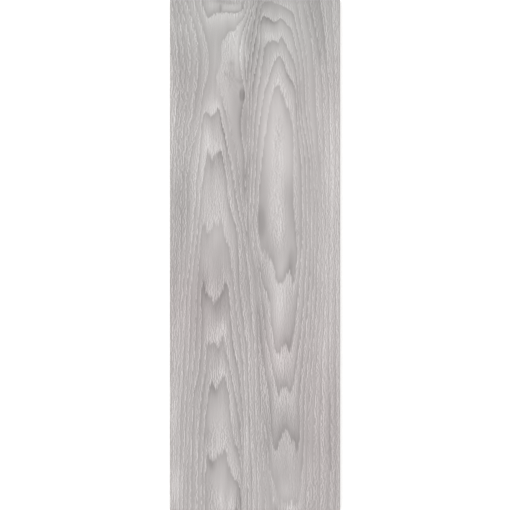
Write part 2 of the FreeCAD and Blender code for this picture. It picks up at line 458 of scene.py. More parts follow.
# The straight wood along the left edge
LEFT_FLANK = (
    Accent(CLOUD, 13, 85, 12, 38, -0.035),
    Accent(CLOUD, 32, 95, 8, 38, -0.05),
    Accent(CLOUD, 2, 130, 5, 50, 0.05),
    Accent(CLOUD, 36, 185, 10, 55, 0.04),
    Accent(CLOUD, 12, 240, 9, 45, -0.045),
    Accent(CLOUD, 10, 320, 10, 32, -0.03),
    Accent(CLOUD, 10, 390, 9, 38, 0.015),
    Accent(CLOUD, 35, 360, 8, 46, -0.065),
    Accent(CLOUD, 37, 450, 9, 50, -0.035),
    Accent(CLOUD, 6, 485, 7, 55, 0.05),
    Accent(CLOUD, 6, 572, 9, 26, 0.085),
    Accent(CLOUD, 30, 562, 2, 35, -0.04),
    Accent(CLOUD, 33.5, 562, 1.8, 35, 0.04),
    Accent(LATE, 30, 338, 7, 12, -0.03),
    Accent(GRIT, 8, 330, 28, 330, 0.28),
    Accent(GRIT, 4, 300, 13, 400, 0.24),
    Accent(GRIT, 8, 37, 9, 12, 0.20),
    Accent(GRIT, 8, 98, 9, 28, 0.38),
    Accent(GRIT, 8, 175, 9, 26, 0.18),
    Accent(GRIT, 8, 312, 9, 12, 0.18),
    Accent(GRIT, 8, 465, 9, 18, 0.20),
    Accent(GRIT, 8, 555, 10, 28, 0.25),
    Accent(GRIT, 30, 345, 8, 18, -0.20),
    Accent(WARMTH, 5, 190, 40, 110, -0.22),
    Accent(WARMTH, 32, 358, 45, 60, 0.45),
)

# The peaks of the left column
LEFT_PEAKS = (
    Accent(CLOUD, 45, 160, 5, 14, 0.04),
    Accent(CLOUD, 65, 190, 6, 28, -0.035),
    Accent(CLOUD, 57, 225, 7, 35, 0.035),
    Accent(CLOUD, 55, 274, 9, 18, 0.08),
    Accent(CLOUD, 41, 331, 6, 16, -0.08),
    Accent(CLOUD, 62, 326, 9, 22, -0.05),
    Accent(CLOUD, 60, 362, 9, 20, -0.055),
    Accent(CLOUD, 53, 440, 5, 12, -0.03),
    Accent(CLOUD, 63, 500, 7, 30, 0.03),
    Accent(CLOUD, 46, 515, 5, 16, -0.05),
    Accent(CLOUD, 62, 556, 10, 30, 0.03),
    Accent(CLOUD, 46, 578, 5, 26, -0.045),
    Accent(CLOUD, 60, 585, 1.6, 15, 0.04),
    Accent(CLOUD, 66, 588, 1.5, 12, -0.025),
    Accent(CLOUD, 71, 592, 2.8, 12, 0.05),
    Accent(EARLY, 51, 121, 6, 13, 0.08),
    Accent(EARLY, 50, 172, 9, 12, 0.04),
    Accent(EARLY, 60, 386, 9, 14, 0.05),
    Accent(EARLY, 58, 438, 8, 9, 0.05),
    Accent(EARLY, 65, 588, 8, 20, 0.05),
    Accent(LATE, 41, 348, 7, 16, 0.05),
    Accent(LATE, 65, 348, 6, 18, 0.05),
    Accent(LATE, 50, 457, 4, 9, 0.09),
    Accent(LATE, 48, 549, 4, 12, 0.09),
    Accent(GRIT, 58, 190, 15, 40, 0.40),
    Accent(GRIT, 30, 225, 10, 30, 0.20),
    Accent(GRIT, 26, 325, 22, 28, -0.25),
    Accent(GRIT, 58, 285, 14, 20, -0.30),
    Accent(GRIT, 60, 395, 14, 50, 0.30),
    Accent(GRIT, 56, 522, 14, 28, -0.25),
    Accent(GRIT, 62, 560, 14, 20, -0.45),
    Accent(GRIT, 66, 595, 14, 12, -0.15),
    Accent(GRIT, 51, 484, 9, 20, -0.40),
    Accent(GRIT, 64, 512, 14, 11, 0.42),
    Accent(GRIT, 71, 437, 7, 11, 0.22),
    Accent(GRIT, 51, 287, 8, 12, 0.15),
    Accent(GRIT, 71, 270, 8, 16, -0.22),
    Accent(GRIT, 50, 162, 9, 10, 0.25),
)

# The crowded rings between the two columns
VALLEY = (
    Accent(CLOUD, 88, 217, 11, 40, -0.06),
    Accent(CLOUD, 95, 192, 5, 18, -0.02),
    Accent(CLOUD, 85, 330, 9, 40, -0.05),
    Accent(CLOUD, 109, 318, 7, 20, -0.055),
    Accent(CLOUD, 106, 408, 7, 46, -0.06),
    Accent(CLOUD, 97, 425, 5, 50, 0.025),
    Accent(CLOUD, 112, 475, 9, 25, -0.02),
    Accent(CLOUD, 83, 508, 6, 62, -0.05),
    Accent(CLOUD, 92, 520, 7, 60, 0.015),
    Accent(CLOUD, 89, 525, 2.5, 75, 0.04),
    Accent(CLOUD, 94, 450, 2, 60, -0.03),
    Accent(CLOUD, 102, 412, 2.2, 35, 0.025),
    Accent(CLOUD, 112, 368, 8, 25, -0.03),
    Accent(CLOUD, 101, 562, 1.8, 35, 0.04),
    Accent(CLOUD, 117.5, 490, 2, 32, -0.045),
    Accent(CLOUD, 88, 275, 9, 22, -0.02),
    Accent(CLOUD, 80.5, 594, 4.5, 20, -0.085, blunt=2.0),
    Accent(LATE, 76, 415, 5, 35, 0.05),
    Accent(LATE, 83, 590, 5, 20, 0.08),
    Accent(LATE, 91, 437, 7, 12, -0.025),
    Accent(GRIT, 90, 265, 11, 75, 0.35),
    Accent(GRIT, 91, 437, 7, 12, -0.15),
    Accent(GRIT, 97, 470, 14, 160, 0.30),
)

# The long lens in the right column and the arches over it
LENS = (
    Accent(CLOUD, 127, 160, 18, 78, 0.062, blunt=1.5),
    Accent(CLOUD, 130, 155, 6, 25, -0.035),
    Accent(CLOUD, 112, 222, 9, 24, -0.025),
    Accent(CLOUD, 136, 226, 9, 22, -0.025),
    Accent(CLOUD, 141, 195, 8, 28, 0.02),
    Accent(CLOUD, 151, 112, 8, 25, -0.03),
    Accent(CLOUD, 107, 262, 5.5, 20, -0.07, blunt=2.0),
    Accent(CLOUD, 110, 255, 7, 30, -0.035),
    Accent(CLOUD, 143, 306, 4, 15, -0.05, blunt=2.0),
    Accent(CLOUD, 125, 250, 9, 40, 0.035, blunt=2.0),
    Accent(CLOUD, 141, 252, 5, 36, -0.02),
    Accent(CLOUD, 150, 276, 4, 16, -0.03),
    Accent(CLOUD, 128, 319, 8, 13, 0.02),
    Accent(CLOUD, 122, 165, 2, 34, 0.02),
    Accent(CLOUD, 131, 178, 2.5, 30, 0.015),
    Accent(EARLY, 146, 190, 5, 45, -0.03),
    Accent(EARLY, 118, 122, 10, 18, -0.015),
    Accent(LATE, 141, 92, 7, 20, 0.07),
    Accent(LATE, 110, 280, 9, 34, -0.04),
    Accent(LATE, 142, 315, 4, 14, 0.05),
    Accent(LATE, 142, 190, 6, 45, -0.04),
    Accent(LATE, 113, 172, 6, 48, -0.035),
    Accent(LATE, 118, 122, 10, 18, -0.025),
    Accent(GRIT, 124, 265, 10, 27, 0.25, blunt=2.0),
    Accent(GRIT, 113, 172, 7, 60, -0.35),
    Accent(GRIT, 140, 172, 7, 60, -0.35),
    Accent(GRIT, 127, 118, 9, 18, -0.30),
    Accent(GRIT, 113, 122, 9, 18, -0.15),
    Accent(GRIT, 126, 172, 6, 45, 0.15, blunt=2.0),
    Accent(GRIT, 110, 165, 14, 100, -0.32),
    Accent(GRIT, 132, 316, 13, 22, -0.42),
    Accent(GRIT, 142, 265, 6, 38, -0.35),
    Accent(GRIT, 109, 258, 6, 32, -0.35),
)

# The peaks below the lens
RIGHT_PEAKS = (
    Accent(CLOUD, 128, 345, 7, 12, -0.035),
    Accent(CLOUD, 127, 366, 9, 34, 0.07),
    Accent(CLOUD, 127, 428, 9, 17, 0.05),
    Accent(CLOUD, 127, 512, 22, 28, -0.025),
    Accent(CLOUD, 149, 534, 5, 20, -0.04),
    Accent(CLOUD, 136, 577, 10, 16, 0.055),
    Accent(CLOUD, 121.5, 591, 1.8, 10, 0.06),
    Accent(CLOUD, 142, 598, 4, 5, 0.06),
    Accent(EARLY, 129, 350, 9, 16, 0.05),
    Accent(EARLY, 132, 470, 7, 12, 0.03),
    Accent(EARLY, 117, 572, 9, 28, -0.045),
    Accent(LATE, 140, 404, 5, 10, 0.06),
    Accent(LATE, 147, 512, 8, 16, 0.03),
    Accent(LATE, 124, 515, 7, 16, 0.04),
    Accent(LATE, 114, 560, 8, 40, -0.06),
    Accent(LATE, 110, 500, 4, 14, -0.06),
    Accent(LATE, 151, 570, 6, 25, -0.06),
    Accent(LATE, 138, 580, 14, 18, -0.06),
    Accent(GRIT, 110, 362, 8, 12, 0.20),
    Accent(GRIT, 132, 437, 9, 10, 0.28),
    Accent(GRIT, 144, 487, 15, 11, 0.45),
    Accent(GRIT, 151, 583, 9, 16, 0.45),
    Accent(GRIT, 110, 556, 8, 18, 0.22),
    Accent(GRIT, 132, 450, 16, 55, 0.30),
    Accent(GRIT, 110, 500, 12, 40, 0.35),
    Accent(GRIT, 112, 580, 12, 30, -0.25),
    Accent(WARMTH, 128, 412, 30, 42, 0.40),
)

# The straight wood along the right edge
RIGHT_SIDE = (
    Accent(CLOUD, 192, 50, 7, 22, 0.02),
    Accent(CLOUD, 168, 150, 8, 55, 0.02),
    Accent(CLOUD, 191, 185, 10, 70, 0.075),
    Accent(CLOUD, 163, 200, 6, 38, -0.035),
    Accent(CLOUD, 178, 300, 6, 28, 0.02),
    Accent(CLOUD, 190, 315, 12, 80, 0.04),
    Accent(CLOUD, 180, 415, 8, 50, 0.04),
    Accent(CLOUD, 153, 490, 8, 68, -0.035),
    Accent(CLOUD, 168, 528, 12, 24, -0.025),
    Accent(CLOUD, 186, 520, 8, 30, -0.025),
    Accent(CLOUD, 188.3, 495, 1.6, 55, -0.04),
    Accent(CLOUD, 193.8, 485, 1.3, 40, -0.02),
    Accent(CLOUD, 166.5, 562, 1.8, 35, 0.04),
    Accent(CLOUD, 175, 562, 1.8, 35, 0.035),
    Accent(EARLY, 170, 212, 8, 14, -0.015),
    Accent(EARLY, 178, 262, 24, 45, -0.01),
    Accent(LATE, 170, 212, 8, 14, -0.04),
    Accent(LATE, 178, 262, 24, 45, -0.03),
    Accent(GRIT, 196, 300, 11, 400, 0.15),
    Accent(GRIT, 170, 205, 9, 140, -0.16),
    Accent(GRIT, 170, 212, 8, 13, -0.20),
    Accent(GRIT, 170, 326, 8, 20, -0.16),
    Accent(GRIT, 193, 90, 9, 18, 0.22),
    Accent(GRIT, 193, 548, 9, 30, 0.24),
    Accent(GRIT, 186, 300, 26, 380, 0.35),
    Accent(GRIT, 162, 150, 13, 110, -0.38),
    Accent(GRIT, 162, 440, 10, 45, 0.12),
    Accent(GRIT, 160, 525, 12, 30, -0.40),
    Accent(GRIT, 164, 580, 12, 26, 0.35),
    Accent(GRIT, 188, 265, 16, 40, 0.30),
    Accent(WARMTH, 178, 495, 30, 135, 0.40),
)

ACCENTS = (
    KNOT_WOOD + TOP_BOX + TOP_END + LEFT_FLANK + LEFT_PEAKS + VALLEY + LENS + RIGHT_PEAKS + RIGHT_SIDE
)


@dataclass(frozen=True)
class GrainSample:
    """The growth over a grid of points, each an array of the grid's shape.

    Attributes:
        ring: Count of growth rings.
        slope: Rings crossed by a metre across the grain.
        dip: How steeply rings age along the tile, up to 1.
        lane: Place across the grain, in metres.
        late: How dark a ring's end prints.
        early: How pale a ring's start prints.
        tone: What the broad tone adds to lightness.
        grit: How much of the pores and fibres shows outside the pale wood.
        warmth: Share of the warm tint.
    """

    ring: np.ndarray
    slope: np.ndarray
    dip: np.ndarray
    lane: np.ndarray
    late: np.ndarray
    early: np.ndarray
    tone: np.ndarray
    grit: np.ndarray
    warmth: np.ndarray


ATTRIBUTES = tuple(field.name for field in fields(GrainSample))


@dataclass
class Sheet:
    """A thin springy plate that passes each of a set of lines at the line's value.

    Attributes:
        along_shrink: How much lengths along the grain are shortened, so that the plate bends less that way.
        spacing: Distance between samples of a line in that shortened measure, in millimetres.
        slack: How far the plate may miss a sample, as a stiffness added to its own.
        blur: Squared distance over which a line's contrast stays level, in square millimetres.
        block: How many points are worked out at once.
    """

    lines: tuple[GrainLine, ...]
    along_shrink: float = 0.25
    spacing: float = 5.0
    slack: float = 0.2
    blur: float = 1.0
    block: int = 4000

    def __post_init__(self) -> None:
        """Samples every line and solves the plate's weights."""
        samples = [self._along(line) for line in self.lines]
        counts = [len(points) for points in samples]
        self._centres = np.vstack(samples) * (1.0, self.along_shrink)
        self._values = np.repeat([line.value for line in self.lines], counts)
        self._contrast = np.repeat([line.contrast for line in self.lines], counts)
        self._weights = self._solve()

    def _along(self, line: GrainLine) -> np.ndarray:
        """Samples a smooth curve through a line's points.

        Each span is the cubic through its two ends whose slope at an end is half the step between that
        end's neighbours, sampled evenly so that samples stay about one spacing apart.

        Args:
            line: The line.

        Returns:
            Points across and down, in millimetres.
        """
        ends = np.asarray(line.points, float)
        padded = np.vstack([2 * ends[0] - ends[1], ends, 2 * ends[-1] - ends[-2]])
        before, start, stop, after = padded[:-3], padded[1:-2], padded[2:-1], padded[3:]
        reach = np.hypot(*((stop - start) * (1.0, self.along_shrink)).T)
        counts = np.maximum(1, np.ceil(reach / self.spacing)).astype(int)
        span = np.repeat(np.arange(len(counts)), counts)
        first = np.cumsum(counts) - counts
        t = ((np.arange(len(span)) - first[span]) / counts[span])[:, None]
        curve = start[span] + 0.5 * t * (
            (stop - before)[span]
            + t * (2 * before - 5 * start + 4 * stop - after)[span]
            + t * t * (3 * start - before - 3 * stop + after)[span]
        )
        return np.vstack([curve, ends[-1:]])

    @staticmethod
    def _bend(squared: np.ndarray) -> np.ndarray:
        """Gives a thin plate's deflection, distance squared times the log of distance."""
        return 0.5 * squared * np.log(squared + TINY)

    def _squared(self, points: np.ndarray) -> np.ndarray:
        """Gives the squared distance of each point from each sample."""
        return ((points[:, None] - self._centres[None]) ** 2).sum(-1)

    def _solve(self) -> np.ndarray:
        """Solves the plate's weights and its flat part, so that it passes each sample at its value.

        Returns:
            One weight a sample, then the flat part's height and two slopes.
        """
        count = len(self._centres)
        flat = np.column_stack([np.ones(count), self._centres])
        size = count + flat.shape[1]
        system = np.zeros((size, size))
        system[:count, :count] = self._bend(self._squared(self._centres)) + self.slack * np.eye(count)
        system[:count, count:] = flat
        system[count:, :count] = flat.T
        return np.linalg.solve(system, np.append(self._values, np.zeros(flat.shape[1])))

    def read(self, across: np.ndarray, down: np.ndarray) -> tuple[np.ndarray, np.ndarray]:
        """Reads the plate over a grid of points of the face.

        The value is the plate's height. Contrast is the mean of the lines' contrast, weighted by the
        inverse fourth power of their distance.

        Args:
            across: Millimetres from the left edge.
            down: Millimetres from the top edge.

        Returns:
            The value and the contrast at each point.
        """
        points = np.column_stack([across.ravel(), down.ravel() * self.along_shrink])
        value = np.empty(len(points))
        contrast = np.empty(len(points))
        count = len(self._centres)
        for start in range(0, len(points), self.block):
            part = slice(start, start + self.block)
            squared = self._squared(points[part])
            flat = self._weights[count] + points[part] @ self._weights[count + 1:]
            value[part] = self._bend(squared) @ self._weights[:count] + flat
            near = 1.0 / (squared + self.blur) ** 2
            contrast[part] = near @ self._contrast / near.sum(1)
        return value.reshape(across.shape), contrast.reshape(across.shape)


@dataclass
class GrainField:
    """The wood figure: a sheet of growth rings, a sheet of lanes along the grain, and accents over both.

    Attributes:
        late_depth: How dark a ring's end prints, as a share of full lightness.
        early_depth: How pale a ring's start prints, as a share of full lightness.
        smooth_grit: How much of the pores and fibres still shows in smooth wood, from 0 to 1.
        mean_warmth: Share of the warm tint where no accent changes it.
        lane_lean: How far lanes swerve with their sheet, from 0 for straight ones to 1.
        crowding: Most rings a metre across the grain that a strand takes account of.
        steep: Rings a metre along the tile from which a ring's end is jagged in full.
        least_dip: Share of the jags that is left where rings run along the tile.
    """

    rings: Sheet
    lanes: Sheet
    accents: tuple[Accent, ...]
    late_depth: float = 0.075
    early_depth: float = 0.055
    smooth_grit: float = 0.12
    mean_warmth: float = 0.5
    lane_lean: float = 0.5
    crowding: float = 0.18 / MM
    steep: float = 0.012 / MM
    least_dip: float = 0.25

    def sample(self, across: np.ndarray, down: np.ndarray) -> GrainSample:
        """Reads the growth over a grid of points of the face.

        Slope is the step of the ring count between two columns over that of the lane, and dip is its step
        between two rows over their distance. An accent adds its amount times e to the power of minus its
        oval, which is the squared distance from its centre in half widths, raised to its bluntness.

        Args:
            across: Millimetres from the left edge, in the grid's rows and columns.
            down: Millimetres from the top edge, in the same rows and columns.

        Returns:
            The growth at each point.
        """
        ring, contrast = self.rings.read(across, down)
        lane, _ = self.lanes.read(across, down)
        lane = (across + self.lane_lean * (lane - across)) * MM
        slope = np.gradient(ring, axis=1) / np.gradient(lane, axis=1)
        dip = np.gradient(ring, axis=0) / np.gradient(down * MM, axis=0)
        depth = {
            LATE: self.late_depth * contrast,
            EARLY: self.early_depth * contrast,
            CLOUD: np.zeros(across.shape),
            GRIT: np.full(across.shape, self.smooth_grit),
            WARMTH: np.full(across.shape, self.mean_warmth),
        }
        for accent in self.accents:
            oval = ((across - accent.across) / accent.half_across) ** 2
            oval = oval + ((down - accent.down) / accent.half_down) ** 2
            depth[accent.growth] = depth[accent.growth] + accent.amount * np.exp(-oval ** accent.blunt)
        return GrainSample(
            ring=ring,
            slope=np.clip(slope, -self.crowding, self.crowding),
            dip=np.clip(np.abs(dip) / self.steep, self.least_dip, 1.0),
            lane=lane,
            **{growth.value: values for growth, values in depth.items()},
        )


def linear(colour: str) -> tuple[float, float, float, float]:
    """Turns an sRGB hex colour to linear red, green, blue and a full alpha.

    Args:
        colour: Six hex digits after a hash.

    Returns:
        The linear colour.
    """
    shares = [int(colour[i:i + 2], 16) / 255 for i in (1, 3, 5)]
    lights = [s / 12.92 if s <= 0.04045 else ((s + 0.055) / 1.055) ** 2.4 for s in shares]
    return (*lights, 1.0)


def add_node(
    tree: bpy.types.NodeTree,
    kind: str,
    settings: dict[str, Any] | None = None,
    inputs: dict[str | int, Any] | None = None,
) -> bpy.types.Node:
    """Adds a node with its settings and links.

    Args:
        tree: The node tree.
        kind: The node's type name.
        settings: Properties to set on the node.
        inputs: Values for its input sockets. A node stands for its first output, a socket is linked, and
            anything else is set as the socket's value.

    Returns:
        The node.
    """
    node = tree.nodes.new(kind)
    for name, value in (settings or {}).items():
        setattr(node, name, value)
    for key, value in (inputs or {}).items():
        if isinstance(value, bpy.types.Node):
            value = value.outputs[0]
        if isinstance(value, bpy.types.NodeSocket):
            tree.links.new(value, node.inputs[key])
        else:
            node.inputs[key].default_value = value
    return node


def empty_tree(owner: bpy.types.Material | bpy.types.World) -> bpy.types.NodeTree:
    """Switches a material or world to nodes and empties its tree.

    Args:
        owner: The material or world.

    Returns:
        The empty tree.
    """
    owner.use_nodes = True
    owner.node_tree.nodes.clear()
    return owner.node_tree


def set_stops(ramp: bpy.types.Node, stops: Iterable[tuple[float, tuple[float, ...]]]) -> None:
    """Gives a colour ramp its stops, the first of them in place of those it starts with.

    Args:
        ramp: The ramp.
        stops: Position and colour of each, in rising order.
    """
    elements = ramp.color_ramp.elements
    for index, (position, colour) in enumerate(stops):
        stop = elements[index] if index < len(elements) else elements.new(position)
        stop.position = position
        stop.color = colour


@dataclass(frozen=True)
class GlazedFace:
    """Matt glazed porcelain with an inkjet wood print under the glaze.

    The glaze is matt and fine, so it shows a broad soft sheen and no mirror. The print gives grey limed
    wood: pale earlywood full of whitened pores, smooth darker latewood with a crisp outer edge, and streaks
    along the grain.

    Attributes:
        shades: Colours of the print, by lightness.
        pale_profile: How pale the wood is over a year's growth.
        dark_profile: How dark the wood is over a year's growth.
        mean_shade: Lightness that growth and streaks start from.
        strand_step: Distance in the noise between two strands, so that they differ.
        strand_relief: Share of each neighbour's noise that is taken off a strand's own.
        strand_square: Share of a ring's slope that is evened out across a strand, for square strand ends.
        finger_jag: How far broad fingers shift the ring count.
        fray_jag: How far single strands shift the ring count.
        pale_grit: How much of the pores and fibres the palest wood adds.
        dash_edge: Noise on both sides of zero within which a dark dash turns to a pale one.
        dash_dark: Level of a dark dash.
        dash_pale: Level of a pale dash.
        pore_depth: Lightness that the dashes of the pores change, and likewise for fibres, bands and
            clouds.
        bump_strength: Share of the pores' relief that shows.
    """

    name: str = "matt_glazed_porcelain_wood_print"
    shades: tuple[tuple[float, str], ...] = (
        (0.40, "#6a6564"),
        (0.55, "#908b8a"),
        (0.65, "#a9a4a3"),
        (0.72, "#bbb6b5"),
        (0.81, "#d2cdcc"),
        (0.92, "#ebe8e7"),
    )
    pale_profile: tuple[tuple[float, float], ...] = (
        (0.0, 0.55), (0.05, 1.0), (0.22, 0.75), (0.45, 0.30), (0.75, 0.05), (0.97, 0.0), (1.0, 0.55),
    )
    dark_profile: tuple[tuple[float, float], ...] = (
        (0.0, 0.40), (0.03, 0.0), (0.50, 0.0), (0.75, 0.30), (0.90, 0.75), (0.97, 1.0), (1.0, 0.40),
    )
    mean_shade: float = 0.7165
    roughness: float = 0.52
    ior: float = 1.5
    cool_tint: str = "#fbfffe"
    warm_tint: str = "#fffbfc"
    finger: Streak = Streak(3.4, 30.0)
    fray: Streak = Streak(1.3, 14.0, shift=3.3, strands=True)
    pore: Streak = Streak(1.15, 6.5, rough=0.65, shift=7.7, strands=True)
    fibre: Streak = Streak(1.2, 45.0, shift=11.4, strands=True)
    band: Streak = Streak(7.0, 150.0, shift=17.1)
    cloud: Streak = Streak(24.0, 75.0, shift=23.6)
    strand_step: float = 3.73
    strand_relief: float = 0.40
    strand_square: float = 0.8
    finger_jag: float = 0.30
    fray_jag: float = 0.14
    pale_grit: float = 0.85
    dash_edge: float = 0.11
    dash_dark: float = -0.55
    dash_pale: float = 0.45
    pore_depth: float = 0.13
    fibre_depth: float = 0.125
    band_depth: float = 0.06
    cloud_depth: float = 0.03
    pore_bump: float = 0.05 * MM
    bump_strength: float = 0.6

    def streaks(
        self,
        tree: bpy.types.NodeTree,
        streak: Streak,
        lane: bpy.types.NodeSocket,
        along: bpy.types.NodeSocket,
    ) -> bpy.types.Node:
        """Adds a noise stretched along the grain, about zero.

        In strands, a share of the two neighbours' noise is taken off each strand's own, so that it stands
        out.

        Args:
            tree: The node tree.
            streak: The noise's sizes.
            lane: The place across the grain.
            along: The place along the tile.

        Returns:
            The noise.
        """
        across = add_node(tree, MATH, DIVIDE, {0: lane, 1: streak.across * MM})
        down = add_node(tree, MATH, DIVIDE, {0: along, 1: streak.along * MM})
        shares = {0: 1.0}
        if streak.strands:
            across = add_node(tree, MATH, FLOOR, {0: across})
            shares = {0: 1.0, -1: -self.strand_relief, 1: -self.strand_relief}
        total: bpy.types.Node | float = -NOISE_MEAN * sum(shares.values())
        for step, share in shares.items():
            place = add_node(tree, MATH, ADD, {0: across, 1: step})
            if streak.strands:
                place = add_node(tree, MATH, MULTIPLY, {0: place, 1: self.strand_step})
            flow = add_node(tree, "ShaderNodeCombineXYZ", {}, {"X": place, "Y": down, "Z": streak.shift})
            field = add_node(tree, NOISE, {}, {
                "Vector": flow, "Scale": 1.0, "Detail": streak.detail, "Roughness": streak.rough,
            })
            total = add_node(tree, MATH, MULTIPLY_ADD, {0: field, 1: share, 2: total})
        return total

    def age(
        self,
        tree: bpy.types.NodeTree,
        growth: dict[str, bpy.types.NodeSocket],
        noise: dict[str, bpy.types.Node],
    ) -> bpy.types.Node:
        """Adds how far a year's growth has come, the fraction of the ring count.

        The slope is nearly evened out across each strand, so that a strand shows one age over its width.
        Then fingers and strands jag the count, less where rings run along the tile.

        Args:
            tree: The node tree.
            growth: The growth at a point.
            noise: The streaks.

        Returns:
            The age, from 0 to 1.
        """
        strand = self.fray.across * MM
        evened = strand * self.strand_square
        place = add_node(tree, MATH, DIVIDE, {0: growth["lane"], 1: strand})
        share = add_node(tree, MATH, FRACT, {0: place})
        aside = add_node(tree, MATH, MULTIPLY_ADD, {0: share, 1: -evened, 2: evened / 2})
        ring = add_node(tree, MATH, MULTIPLY_ADD, {0: growth["slope"], 1: aside, 2: growth["ring"]})
        for name, jag in (("finger", self.finger_jag), ("fray", self.fray_jag)):
            reach = add_node(tree, MATH, MULTIPLY, {0: growth["dip"], 1: jag})
            ring = add_node(tree, MATH, MULTIPLY_ADD, {0: noise[name], 1: reach, 2: ring})
        return add_node(tree, MATH, FRACT, {0: ring})

    def lightness(
        self,
        tree: bpy.types.NodeTree,
        growth: dict[str, bpy.types.NodeSocket],
        noise: dict[str, bpy.types.Node],
    ) -> tuple[bpy.types.Node, bpy.types.Node]:
        """Adds the lightness of the print.

        Two profiles over the age give the pale start and the dark end of a year's growth. Lightness is the
        mean shade plus the one, less the other, plus the broad tone, the pores and fibres, strongest in the
        pale wood, and the bands and clouds.

        Args:
            tree: The node tree.
            growth: The growth at a point.
            noise: The streaks.

        Returns:
            The lightness, and the pores' share of it as levels about zero.
        """
        age = self.age(tree, growth, noise)
        pale_share, dark_share = (add_node(tree, RAMP, {}, {"Fac": age}) for _ in range(2))
        for ramp, profile in ((pale_share, self.pale_profile), (dark_share, self.dark_profile)):
            set_stops(ramp, ((position, (level, level, level, 1.0)) for position, level in profile))
        coarse = add_node(tree, MATH, {**MULTIPLY_ADD, "use_clamp": True}, {
            0: pale_share, 1: self.pale_grit, 2: growth["grit"],
        })
        dashes = add_node(tree, MAP_RANGE, {"interpolation_type": "SMOOTHSTEP"}, {
            "Value": noise["pore"],
            "From Min": -self.dash_edge,
            "From Max": self.dash_edge,
            "To Min": self.dash_dark,
            "To Max": self.dash_pale,
        })
        pores = add_node(tree, MATH, MULTIPLY, {0: dashes, 1: coarse})
        fibres = add_node(tree, MATH, MULTIPLY, {0: noise["fibre"], 1: coarse})
        dark = add_node(tree, MATH, MULTIPLY, {0: dark_share, 1: growth["late"]})
        pale = add_node(tree, MATH, MULTIPLY, {0: pale_share, 1: growth["early"]})
        shade = add_node(tree, MATH, SUBTRACT, {0: pale, 1: dark})
        shade = add_node(tree, MATH, ADD, {0: shade, 1: growth["tone"]})
        for part, depth in (
            (pores, self.pore_depth),
            (fibres, self.fibre_depth),
            (noise["band"], self.band_depth),
            (noise["cloud"], self.cloud_depth),
        ):
            shade = add_node(tree, MATH, MULTIPLY_ADD, {0: part, 1: depth, 2: shade})
        return add_node(tree, MATH, ADD, {0: shade, 1: self.mean_shade}), pores

    def build(self) -> bpy.types.Material:
        """Makes the material: a ramp of shades over the print's lightness, tinted, with the pores raised.

        Returns:
            The material.
        """
        material = bpy.data.materials.new(self.name)
        tree = empty_tree(material)
        growth = {
            name: add_node(tree, "ShaderNodeAttribute", {"attribute_name": name}).outputs["Fac"]
            for name in ATTRIBUTES
        }
        place = add_node(tree, "ShaderNodeTexCoord").outputs["Object"]
        along = add_node(tree, "ShaderNodeSeparateXYZ", {}, {0: place}).outputs["Y"]
        noise = {
            name: self.streaks(tree, getattr(self, name), growth["lane"], along)
            for name in ("finger", "fray", "pore", "fibre", "band", "cloud")
        }
        shade, pores = self.lightness(tree, growth, noise)
        ramp = add_node(tree, RAMP, {}, {"Fac": shade})
        set_stops(ramp, ((position, linear(colour)) for position, colour in self.shades))
        tint = add_node(tree, MIX, {"data_type": "RGBA"}, {
            "Factor": growth["warmth"], COLOUR_A: linear(self.cool_tint), COLOUR_B: linear(self.warm_tint),
        })
        tinted = add_node(tree, MIX, {"data_type": "RGBA", "blend_type": "MULTIPLY"}, {
            "Factor": 1.0, COLOUR_A: ramp.outputs["Color"], COLOUR_B: tint.outputs[COLOUR_MIXED],
        })
        relief = add_node(tree, "ShaderNodeBump", {"invert": True}, {
            "Strength": self.bump_strength, "Distance": self.pore_bump, "Height": pores,
        })
        surface = add_node(tree, "ShaderNodeBsdfPrincipled", {}, {
            "Base Color": tinted.outputs[COLOUR_MIXED],
            "Roughness": self.roughness,
            "IOR": self.ior,
            "Normal": relief,
        })
        add_node(tree, "ShaderNodeOutputMaterial", {}, {"Surface": surface})
        return material


@dataclass(frozen=True)
class FiredBody:
    """Fired porcelain body: ground flat on the edges and as pressed on the back.

    It is dense, pale and dull, with a fine grit that breaks its colour and its surface.

    Attributes:
        grit: Size of the grit, in millimetres.
        grit_start: Noise from which grit shows in the colour.
        grit_full: Noise from which it shows in full.
        bump_strength: Share of the grit's relief that shows.
    """

    name: str = "fired_porcelain_body_ground"
    colour: str = "#b4afaa"
    grit_colour: str = "#9d9893"
    roughness: float = 0.78
    ior: float = 1.5
    grit: float = 0.9
    grit_detail: float = 3.0
    grit_start: float = 0.5
    grit_full: float = 0.7
    grit_bump: float = 0.03 * MM
    bump_strength: float = 0.5

    def build(self) -> bpy.types.Material:
        """Makes the material: two close greys mixed by grit, which also roughens the surface.

        Returns:
            The material.
        """
        material = bpy.data.materials.new(self.name)
        tree = empty_tree(material)
        place = add_node(tree, "ShaderNodeTexCoord").outputs["Object"]
        grit = add_node(tree, NOISE, {}, {
            "Vector": place, "Scale": 1 / (self.grit * MM), "Detail": self.grit_detail,
        })
        mottle = add_node(tree, MAP_RANGE, {"interpolation_type": "SMOOTHSTEP"}, {
            "Value": grit, "From Min": self.grit_start, "From Max": self.grit_full,
        })
        mixed = add_node(tree, MIX, {"data_type": "RGBA"}, {
            "Factor": mottle, COLOUR_A: linear(self.colour), COLOUR_B: linear(self.grit_colour),
        })
        relief = add_node(tree, "ShaderNodeBump", {}, {
            "Strength": self.bump_strength, "Distance": self.grit_bump, "Height": grit,
        })
        surface = add_node(tree, "ShaderNodeBsdfPrincipled", {}, {
            "Base Color": mixed.outputs[COLOUR_MIXED],
            "Roughness": self.roughness,
            "IOR": self.ior,
            "Normal": relief,
        })
        add_node(tree, "ShaderNodeOutputMaterial", {}, {"Surface": surface})
        return material


